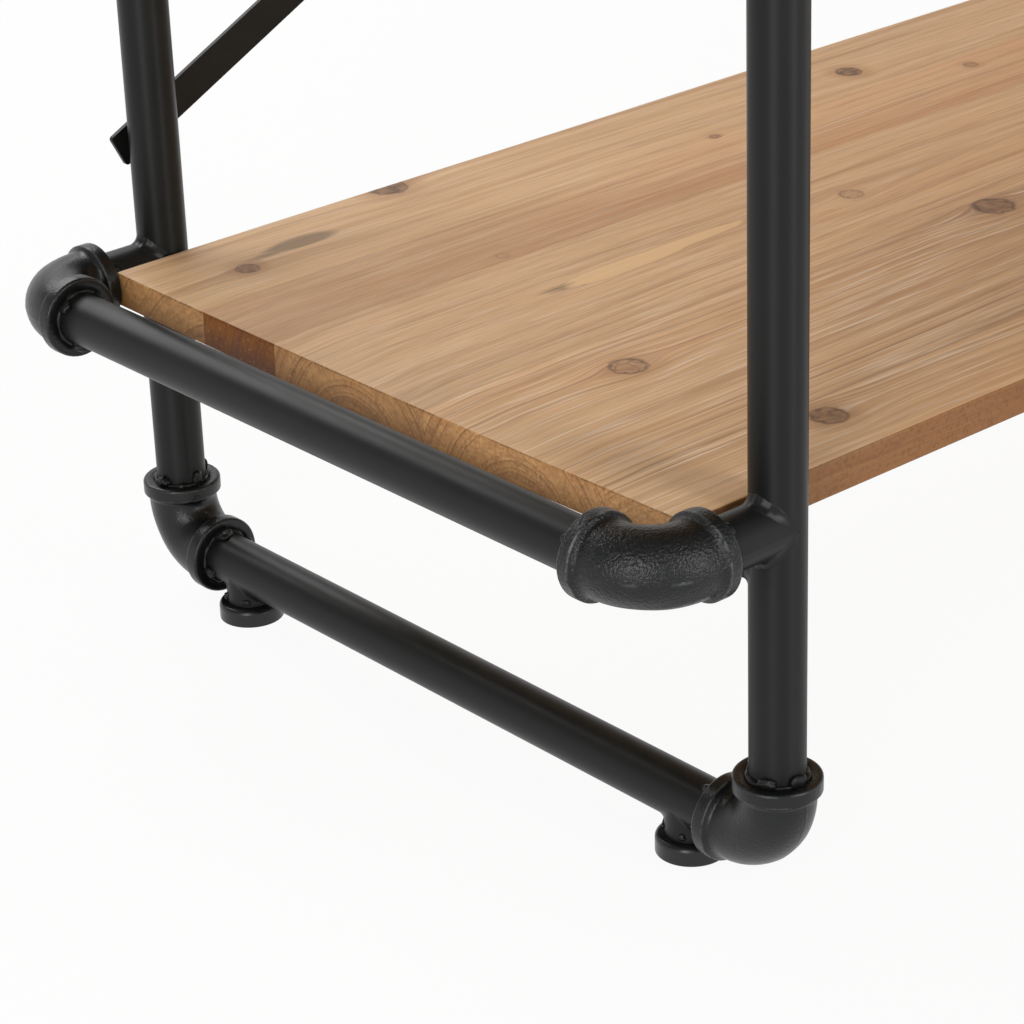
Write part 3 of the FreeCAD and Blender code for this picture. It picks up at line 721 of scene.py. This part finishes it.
def random_staves(rng):
    """Joints, piths, tones and knots of a board like the lower one."""
    share_of_depth = rng.uniform(0.6, 1.5, len(LOWER_PITHS))
    widths = BOARD[1] * share_of_depth / share_of_depth.sum()
    joints = np.cumsum(widths)[:-1]
    middles = np.cumsum(widths) - widths / 2
    piths = [(middle + rng.normal(0, 35), rng.uniform(36, 80)) for middle in middles]
    tones = [(*rng.uniform((-0.2, -0.2, 0.5), (0.2, 0.25, 1.0), (2, 3)), rng.uniform(-0.2, 0.3))
             for middle in middles]
    knots = [(rng.uniform(20, BOARD[0] - 20), middle + rng.uniform(-25, 25), rng.uniform(3.5, 11),
              rng.uniform(0.3, 1)) for middle in middles for repeat in range(3)]
    return joints.tolist(), piths, tones, knots


# %% Carry the log to the board
KNOT_REACH = 5.0
ALONG_SHIFT = 1700.0
# Length over which the painted sheen near the left end of a stave fades
SHEEN_LOSS_LENGTH = 400.0
# The pith wanders, by an amount over a length: twice sideways, then in depth, where it also slopes
PITH_WAVES = ((3.0, 230.0), (0.7, 61.0), (3.0, 210.0))
PITH_SLOPE = 0.014
# Distance in from a side, as a share of the edge's radius, that still counts as lying on it
ON_SIDE, ON_ARRIS = 0.4, 0.5


def log_attributes(flat, joints, piths, tones, knots, rng):
    """What each point of a board knows about its tree: its place in the log (along the trunk, and
    across and up from the pith, whose line wanders), the nearest knot of its stave in knot radii
    with a weight that ends KNOT_REACH radii away, the tone of its stave with a painted sheen near
    the left end, its share of the way down, and whether it lies on a sawn end, a long edge, or an
    arris, where an end meets a face."""
    along, across, down = flat.T
    stave = np.searchsorted(joints, across)
    log, knot, tone = np.zeros_like(flat), np.zeros_like(flat), np.zeros_like(flat)
    size, dark = np.ones(len(flat)), np.zeros(len(flat))
    bounds = [0, *joints, BOARD[1] + 1]
    for number, (pith_across, pith_down) in enumerate(piths):
        mine = stave == number
        x = along[mine]
        phase = rng.uniform(0, 2 * math.pi, 3)
        waves = [amount * np.sin(x / length + start)
                 for (amount, length), start in zip(PITH_WAVES, phase)]
        side = pith_across + waves[0] + waves[1]
        depth = pith_down + waves[2] + PITH_SLOPE * x
        log[mine] = columns(x + number * ALONG_SHIFT, across[mine] - side, depth - down[mine])
        back_tone, front_tone, sheen_loss = (np.array(part) for part in tones[number])
        forward = (across[mine] - bounds[number]) / (bounds[number + 1] - bounds[number])
        tone[mine] = back_tone + (front_tone - back_tone) * forward[:, None]
        # Painted sheen where the loss is positive: the stave is lighter near the left end
        tone[mine, 0] -= sheen_loss * np.minimum(x / SHEEN_LOSS_LENGTH, 1)
        own = np.array([k for k in knots if bounds[number] <= k[1] < bounds[number + 1]])
        if not len(own):
            continue
        nearest = np.abs(x[:, None] - own[:, 0]).argmin(1)
        kx, ky, size[mine], dark[mine] = own[nearest].T
        offset = np.stack([x - kx, across[mine] - ky], -1) / size[mine, None]
        weight = np.clip(1 - np.linalg.norm(offset, axis=1) / KNOT_REACH, 0, 1)
        knot[mine] = np.column_stack([offset, weight])
    inward = np.minimum(flat, BOARD - flat) / TOP_ROUND
    near_side = inward < ON_SIDE
    return {"log": log, "knot": knot, "stave": tone, "knot_size": size, "knot_dark": dark,
            "down": down / BOARD[2], "end_grain": near_side[:, 0], "long_edge": near_side[:, 1],
            "arris": near_side[:, 0] & (inward[:, 2] < ON_ARRIS)}


# %% [markdown]
# The lower board also has a grey-brown stain near its back left corner, and a pale strip of
# sapwood with a dark start. Each is an ellipse or two. The mesh carries the depth inside them in
# millimetres, and the material makes the ragged edge.

# %% Stain and sapwood
# Ellipses: middle from the left end and the back edge, then half length and half width
STAINS = [(100.0, 36.5, 25.0, 8.5), (74.0, 40.0, 20.0, 3.5), (152.0, 193.5, 13.0, 3.6)]
SAPWOOD = [(202.0, 194.0, 50.0, 8.0), (244.0, 191.5, 56.0, 5.5)]


def depth_inside(flat, ellipses):
    """Depth inside the nearest of several ellipses, positive inside, about right at the edge."""
    depths = [min(long, wide) * (1 - np.hypot((flat[:, 0] - u) / long, (flat[:, 1] - v) / wide))
              for u, v, long, wide in ellipses]
    return np.max(depths, axis=0)


# %% [markdown]
# The fir has been brushed, stained a warm brown and given a thin matt lacquer. Pale soft earlywood
# ends each year in a narrow, darker, harder line. Fine fibres streak it along the trunk, and the
# brush leaves some of them almost white. Every noise is drawn out along the trunk, because wood
# cells are long: a scale here is one over a length along, and one over a width across. Round a
# knot the rings part, as water does round a post, so the distance across is pushed aside there.

# %% Grain and growth rings
RING, RING_BEND, RING_RAGGED = 4.4, 4.0, 0.9
# Most years by which the count runs ahead, and the scale of the noise that says where, per year
PACE, PACE_SCALE = 3.5, 0.45
FIBRE = (1 / 46, 1 / 1.15, 1 / 1.15)
STREAK = (1 / 85, 1 / 1.9, 1 / 1.9)
BAND = (1 / 320, 1 / 7, 1 / 7)
CLOUD = (1 / 210, 1 / 28, 1 / 28)
WANDER = (1 / 330, 1 / 42, 1 / 42)
# Place in a year from 0 to 1, and how dark the wood has become
LATEWOOD = ((0.2, 0.05), (0.6, 0.45), (0.82, 1.0), (0.92, 0.75))


def parted_grain(node, marks):
    """Place in the log, pushed aside round a knot by its size, times the distance across over the
    squared distance, fading out with the knot's weight."""
    across, weight = node("SeparateXYZ", [marks["knot"]]).outputs[1:]
    squeezed = node("VectorMath", [marks["knot"], (0.42, 1, 0)], operation="MULTIPLY")
    square = node("VectorMath", [squeezed, squeezed], operation="DOT_PRODUCT").outputs["Value"]
    softened = node("Math", [square, 0.5], operation="ADD")
    side = node("Math", [across, softened], operation="DIVIDE")
    faded = node("Math", [marks["knot_size"], weight], operation="MULTIPLY")
    push = node("Math", [side, faded], operation="MULTIPLY")
    aside = node("CombineXYZ", [0, push])
    return node("VectorMath", [marks["log"], aside], operation="SUBTRACT")


def drawn_out_noise(node, place, *all_scales):
    """A noise from 0 to 1 for each set of scales along and across the trunk."""
    for scales in all_scales:
        scaled = node("VectorMath", [place, scales], operation="MULTIPLY")
        yield node("TexNoise", {"Vector": scaled, "Scale": 1.0, "Detail": 3, "Roughness": 0.62})


def growth_rings(node, place, fibre, strength):
    """Darkness of the latewood: the distance from the pith, made uneven, counted in years that
    run fast and slow, and each year with its own weight."""
    wander, = drawn_out_noise(node, place, WANDER)
    level = node("VectorMath", [place, (0, 1, 1)], operation="MULTIPLY")
    distance = node("VectorMath", [level], operation="LENGTH").outputs["Value"]
    bent = node("Math", [wander, RING_BEND, distance], operation="MULTIPLY_ADD")
    ragged = node("Math", [fibre, RING_RAGGED, bent], operation="MULTIPLY_ADD")
    years = node("Math", [ragged, RING], operation="DIVIDE")
    pace = node("TexNoise", {"W": years, "Scale": PACE_SCALE, "Detail": 1}, noise_dimensions="1D")
    year = node("Math", [pace, PACE, years], operation="MULTIPLY_ADD")
    late = node("ValToRGB", [node("Math", [year], operation="FRACT")])
    stops = late.color_ramp.elements
    stops[0].color = stops[1].color = (0, 0, 0, 1)
    for part, value in LATEWOOD:
        stops.new(part).color = (value, value, value, 1)
    whole_year = node("Math", [year], operation="FLOOR")
    chance = node("TexWhiteNoise", {"W": whole_year}, noise_dimensions="1D").outputs["Value"]
    seldom = node("Math", [chance, 1.6], operation="POWER")
    weight = node("MapRange", [seldom, 0, 1, 0.16, 1.0])
    in_stave = node("Math", [weight, strength], operation="MULTIPLY")
    return node("Math", [late, in_stave], operation="MULTIPLY")


# %% [markdown]
# Colour comes in layers, each blended over the last: earlywood and latewood, broad brown bands,
# white brushed fibres, dark fibres, and a red cast that comes and goes. The tone of the stave then
# lifts or lowers it all.

# %% Colour of the grain


def grain_colour(node, place, latewood, fibre, streak, tone):
    """Colour from the latewood, the two fine noises and the tone of the stave."""
    band, cloud = drawn_out_noise(node, place, BAND, CLOUD)
    lightness, redness, strength = tone
    bright = node("MapRange", [streak, 0.52, 0.7, 0.0, 0.7])
    reddened = node("Math", [redness, cloud], operation="ADD")
    layers = [
        (latewood, "#966e4b"),
        (node("MapRange", [band, 0.46, 0.68, 0.0, 0.5]), "#a47a52"),
        (node("Math", [bright, strength], operation="MULTIPLY"), "#e6d5bd"),
        (node("MapRange", [fibre, 0.60, 0.78, 0.0, 0.4]), "#8f6a4a"),
        (node("MapRange", [reddened, 0.45, 1.0, 0.0, 0.55]), "#b07c50"),
    ]
    colour = linear("#d0ab81")
    for factor, code in layers:
        colour = node("Mix", {0: factor, 6: colour, 7: linear(code)}, data_type="RGBA").outputs[2]
    fine = node("MapRange", [fibre, 0.25, 0.75, 1.06, 0.84])
    cloudy = node("Math", [cloud, 0.12, fine], operation="MULTIPLY_ADD")
    light = node("Math", [lightness, 0.3, cloudy], operation="MULTIPLY_ADD")
    return node("VectorMath", {0: colour, "Scale": light}, operation="SCALE").outputs[0]


# %% [markdown]
# A knot is the foot of a branch, cut across: a brown halo where its grain turns, a thin dark rim of
# bark, and a heart that may be dark or as pale as the wood, with drying cracks.

# %% Knots


def knot_layers(node, marks):
    """Halo, heart and rim of the nearest knot, each a factor and a colour. The distance from the
    middle, in knot radii, is made uneven by noise, and the rim lies at about 1."""
    dark = marks["knot_dark"]
    weight = node("SeparateXYZ", [marks["knot"]]).outputs["Z"]
    near = node("MapRange", [weight, 0.0, 0.15])
    shown = node("MapRange", [dark, 0.0, 0.3, 0.0, near])
    flat = node("VectorMath", [marks["knot"], (1, 1, 0)], operation="MULTIPLY")
    into_board = node("VectorMath", [marks["log"], (0, 0, 0.12)], operation="MULTIPLY")
    branch = node("VectorMath", [flat, into_board], operation="ADD")
    lumpy = node("TexNoise", {"Vector": branch, "Scale": 2.1, "Detail": 4})
    wide = node("VectorMath", [flat], operation="LENGTH").outputs["Value"]
    uneven = node("Math", [lumpy, 0.6, -0.3], operation="MULTIPLY_ADD")
    spread = node("Math", [uneven, wide], operation="ADD")
    browned = node("MapRange", [dark, 0.25, 0.8, 0.22, 0.45])
    halo = node("MapRange", [spread, 2.4, 0.9, 0.0, browned])
    soft = node("MapRange", [spread, 1.2, 0.75])
    mottled = node("MapRange", [lumpy, 0.35, 0.62, 0.45, 1.0])
    depth = node("MapRange", [dark, 0.2, 1.0, 0.1, 0.95])
    mottled_depth = node("Math", [depth, mottled], operation="MULTIPLY")
    heart = node("Math", [soft, mottled_depth], operation="MULTIPLY")
    past_rim = node("Math", [spread, 0.94], operation="SUBTRACT")
    off_rim = node("Math", [past_rim], operation="ABSOLUTE")
    ring = node("MapRange", [off_rim, 0.0, 0.2, 0.9, 0.0])
    rim = node("Math", [ring, mottled], operation="MULTIPLY")
    cells = node("TexVoronoi", {"Vector": flat, "Scale": 1.1}, feature="DISTANCE_TO_EDGE")
    crack = node("MapRange", [cells.outputs["Distance"], 0.0, 0.06, 0.6, 0.0])
    paler = node("MapRange", [dark, 0.3, 0.9, 1.0, 0.1])
    in_pale = node("Math", [crack, paler], operation="MULTIPLY")
    in_heart = node("Math", [in_pale, soft], operation="MULTIPLY")
    dark_lines = node("Math", [rim, in_heart], operation="MAXIMUM")
    layers = [(halo, "#98683f"), (heart, "#634935"), (dark_lines, "#543d2c")]
    return [(node("Math", [factor, shown], operation="MULTIPLY"), code) for factor, code in layers]


# %% [markdown]
# Marks come last. Stain and sapwood get ragged edges from the streaks, and a thin line of bark
# bounds the sapwood. Sawn ends and edges drink more stain and are darker, most of all in the red
# heartwood. Low on an end a painted shade, that of the rail below, darkens it further. Torn fibres
# catch the light on the ends, and the sharp edge of an end is darker in places.

# %% Fir
TORN_FIBRE, ARRIS_PATCH = 2.2, 24.0
BRUSHED_DEPTH = 0.16
# What the points of a board carry, by the output that gives it
MARKS = {"Vector": ("log", "knot", "stave"),
         "Fac": ("knot_size", "knot_dark", "stain", "sapwood", "end_grain", "long_edge", "arris",
                 "down")}


def sawn_shades(node, marks, redness, latewood, streak):
    """Darker shades of the sawn faces, a painted shade low on an end among them, each a factor and
    a colour to multiply by, and the torn fibres of the ends, a factor and a colour to blend in."""
    where = node("TexCoord").outputs["Object"]
    fleck, patch = (node("TexNoise", {"Vector": where, "Scale": per_metre(size), "Detail": detail})
                    for size, detail in ((TORN_FIBRE, 2), (ARRIS_PATCH, 3)))
    end_grain, long_edge = marks["end_grain"], marks["long_edge"]
    # Painted shade: the end is darker towards its bottom, shaded by the rail below
    shade_down = node("MapRange", [marks["down"], 0.35, 1.0])
    heartwood = node("MapRange", [redness, 0.05, 0.2, 0.0, 1.0])
    raised = node("MapRange", [fleck, 0.66, 0.74, 0.0, 0.4])
    ringed, shaded_low_end, dark_end, torn_end = (node("Math", [factor, end_grain], operation="MULTIPLY")
                                           for factor in (latewood, shade_down, heartwood, raised))
    sawn = node("Math", [end_grain, long_edge], operation="MAXIMUM")
    pits = node("MapRange", [fleck, 0.5, 0.3, 0.0, 0.35])
    pitted = node("Math", [pits, sawn], operation="MULTIPLY")
    dashes = node("MapRange", [streak, 0.42, 0.6, 0.25, 0.9])
    # Darker in dashed patches along the sharp edge of an end
    arris_patches = node("MapRange", [patch, 0.38, 0.52, 0.0, dashes])
    dark_arris = node("Math", [marks["arris"], arris_patches], operation="MULTIPLY")
    shades = [(end_grain, "#f4dfbf"), (ringed, "#ebdfcf"), (shaded_low_end, "#af9f60"),
              (dark_end, "#c6a348"), (long_edge, "#aa9176"), (pitted, "#a88c70"),
              (dark_arris, "#7d6248")]
    return shades, (torn_end, "#cfa06c")


def fir_wood():
    """Brushed and stained fir, worked out from what each point of a board carries."""
    material, node, shader = new_material("stained_brushed_fir")
    marks = {name: node("Attribute", attribute_name=name).outputs[output]
             for output, names in MARKS.items() for name in names}
    tone = node("SeparateXYZ", [marks["stave"]]).outputs[:]
    place = parted_grain(node, marks)
    fibre, streak = drawn_out_noise(node, place, FIBRE, STREAK)
    strength = node("Math", [tone[2], marks["end_grain"]], operation="MAXIMUM")
    latewood = growth_rings(node, place, fibre, strength)
    colour = grain_colour(node, place, latewood, fibre, streak, tone)

    torn = node("Math", [streak, 6.0, -3.0], operation="MULTIPLY_ADD")
    stained = node("Math", [marks["stain"], torn], operation="ADD")
    yellowed = node("Math", [torn, 0.4, marks["sapwood"]], operation="MULTIPLY_ADD")
    off_bark = node("Math", [yellowed], operation="ABSOLUTE")
    evened = node("Math", [marks["long_edge"], 0.6], operation="MULTIPLY")
    layers = [(node("MapRange", [yellowed, -0.3, 0.7, 0.0, 0.7]), "#dcb988"),
              (node("MapRange", [off_bark, 0.0, 0.5, 0.4, 0.0]), "#8d6a45"),
              (node("MapRange", [stained, -0.8, 2.2, 0.0, 0.72]), "#75634a"),
              *knot_layers(node, marks), (evened, "#c09a70")]
    shades, torn_fibres = sawn_shades(node, marks, tone[1], latewood, streak)
    blends = ["MIX"] * len(layers) + ["MULTIPLY"] * len(shades) + ["MIX"]
    for (factor, code), blend in zip([*layers, *shades, torn_fibres], blends):
        colour = node("Mix", {0: factor, 6: colour, 7: linear(code)}, data_type="RGBA",
                      blend_type=blend).outputs[2]

    rough = node("MapRange", [latewood, 0, 1, 0.60, 0.46])
    relief = node("Math", [latewood, 0.7, fibre], operation="MULTIPLY_ADD")
    bump = node("Bump", {"Height": relief, "Strength": 0.4, "Distance": BRUSHED_DEPTH * MM})
    connect(shader, {"Base Color": colour, "Roughness": rough, "Normal": bump,
                     "Specular IOR Level": 0.35})
    return material


fir = fir_wood()
print("fir with rings", RING, "mm apart")

# %% Make the boards
# Added to the depth inside a mark, on boards that have none
FAR_OUTSIDE = -100.0

for number, tier in enumerate(TIERS):
    board_rng = np.random.default_rng(40 + number)
    staves = random_staves(board_rng)
    if tier == "lower":
        staves = LOWER_JOINTS, LOWER_PITHS, LOWER_TONES, LOWER_KNOTS
    skin, quads, flat = board_skin(staves[0], board_rng)
    low, high = corners_mm(f"{tier}_shelf")
    points = columns(low[0] + skin[:, 0], high[1] - skin[:, 1], high[2] - skin[:, 2])
    shell = (points, outward(points - points.mean(0), quads))
    attributes = log_attributes(flat, *staves, board_rng)
    unmarked = 0 if tier == "lower" else FAR_OUTSIDE
    attributes["stain"] = depth_inside(flat, STAINS) + unmarked
    attributes["sapwood"] = depth_inside(flat, SAPWOOD) + unmarked
    add_piece(f"{tier}_fir_board", shell, fir, attributes, [f"{tier}_shelf"])
    print(tier, "board:", 2 * len(quads), "triangles")

# %% [markdown]
# The studio is a white floor and soft light. The floor is pale and matt. Seen by the camera or in
# a reflection it glows to white, as an over-lit paper sweep does, and it keeps a soft shadow. It
# gives the object only the light that a pale floor would. It lies a hair under the glides, so that
# no face of theirs, screwed out or in, lies in the floor.

# %% Floor
# In metres, as all of the studio
FLOOR_HALF = 30.0
FLOOR_Z = -0.0003
# Share that glows near the object, and how far from it that starts to grow and is full
FLOOR_GLOW = 0.92
GLOW_GROWS = (1.2, 5.0)


def paper_floor():
    """Matt white paper, part glowing where the camera or a reflection sees it, and wholly so far
    from the object, where it meets the background."""
    material, node, shader = new_material("white_paper_sweep")
    rays = node("LightPath").outputs
    seen = node("Math", [rays["Is Camera Ray"], rays["Is Glossy Ray"]], operation="MAXIMUM")
    where = node("TexCoord").outputs["Object"]
    away = node("VectorMath", [where], operation="LENGTH").outputs["Value"]
    glow_share = node("MapRange", [away, *GLOW_GROWS, FLOOR_GLOW, 1.0])
    share_seen = node("Math", [seen, glow_share], operation="MULTIPLY")
    matt = node("BsdfDiffuse", {"Color": linear("#f0f0ee")})
    glow = node("Emission", {"Color": (1, 1, 1, 1), "Strength": 1.0})
    mixed = node("MixShader", [share_seen, matt, glow])
    connect(material.node_tree.nodes["Material Output"], {"Surface": mixed})
    material.node_tree.nodes.remove(shader)
    return material


floor_corners = [(x * FLOOR_HALF, y * FLOOR_HALF, FLOOR_Z)
                 for x, y in ((-1, -1), (1, -1), (1, 1), (-1, 1))]
floor_mesh = bpy.data.meshes.new("floor")
floor_mesh.from_pydata(floor_corners, [], [(0, 1, 2, 3)])
floor_mesh.materials.append(paper_floor())
floor = bpy.data.objects.new("floor", floor_mesh)
bpy.context.scene.collection.objects.link(floor)
print("floor", 2 * FLOOR_HALF, "m across")

# %% [markdown]
# A wide softbox stands behind the unit and draws the bright line along the tops of the rails. Two
# tall ones stand to the left and right of the camera: they light the boards under the shelves
# above and draw two upright lines on each post and two spots on each casting. The room is white
# near the floor and dim above, so that black tube shows a dark middle between its bright edges.

# %% Lights
# Place, aim, width and height in metres, and watts
SOFTBOXES = {
    "back_softbox": ((-0.2, 1.9, 1.95), (-0.4, 0, 0.3), (2.0, 0.95), 32.0),
    "left_softbox": ((-2.75, -1.35, 1.2), (-0.5, -0.1, 0.4), (1.0, 2.3), 37.0),
    "right_softbox": ((-0.05, -2.65, 1.2), (-0.4, 0, 0.4), (0.7, 2.3), 32.0),
}
# Sine of the elevation where the room starts to dim and where it is dim, and its light there
ROOM_DIMS, DIM_ROOM = (0.2, 0.5), 0.35


def add_softbox(name, place, aim, size, watts):
    """Area lamp at a place, turned so that its back axis points away from its aim."""
    lamp = bpy.data.lights.new(name, "AREA")
    lamp.shape = "RECTANGLE"
    lamp.size, lamp.size_y = size
    lamp.energy = watts
    box = bpy.data.objects.new(name, lamp)
    box.location = place
    box.rotation_euler = (Vector(place) - Vector(aim)).to_track_quat("Z", "Y").to_euler()
    box.visible_camera = False
    bpy.context.scene.collection.objects.link(box)


for name, settings in SOFTBOXES.items():
    add_softbox(name, *settings)
world = bpy.data.worlds.new("studio")
world.use_nodes = True
room = partial(add_node, world.node_tree)
height = room("SeparateXYZ", [room("TexCoord").outputs["Generated"]]).outputs["Z"]
glow = room("MapRange", [height, *ROOM_DIMS, 1.0, DIM_ROOM])
connect(world.node_tree.nodes["Background"], {"Color": glow})
bpy.context.scene.world = world
bpy.context.scene.view_settings.view_transform = "Standard"
print(len(SOFTBOXES), "softboxes")

# %% [markdown]
# The camera stands where the photograph was taken: in front of the left end, above the lower
# shelf, with a long lens, tilted a little. Its place and angles were fitted to the edges of the
# tubes and the board.

# %% Camera
CAMERA_AT = (-1485.9, -1216.1, 865.7)
LOOK_AZIMUTH, LOOK_DOWN, LOOK_ROLL = 40.36, 25.34, -2.07
LENS, SENSOR = 117.13, 36.0
# In metres
FARTHEST = 200.0

camera_data = bpy.data.cameras.new("camera")
camera_data.sensor_width = SENSOR
camera_data.lens = LENS
camera_data.clip_end = FARTHEST
camera = bpy.data.objects.new("camera", camera_data)
camera.matrix_world = (Matrix.Translation([value * MM for value in CAMERA_AT])
                       @ Matrix.Rotation(-math.radians(LOOK_AZIMUTH), 4, "Z")
                       @ Matrix.Rotation(math.radians(90 - LOOK_DOWN), 4, "X")
                       @ Matrix.Rotation(math.radians(LOOK_ROLL), 4, "Z"))
bpy.context.scene.collection.objects.link(camera)
bpy.context.scene.camera = camera
print("lens", LENS, "mm")
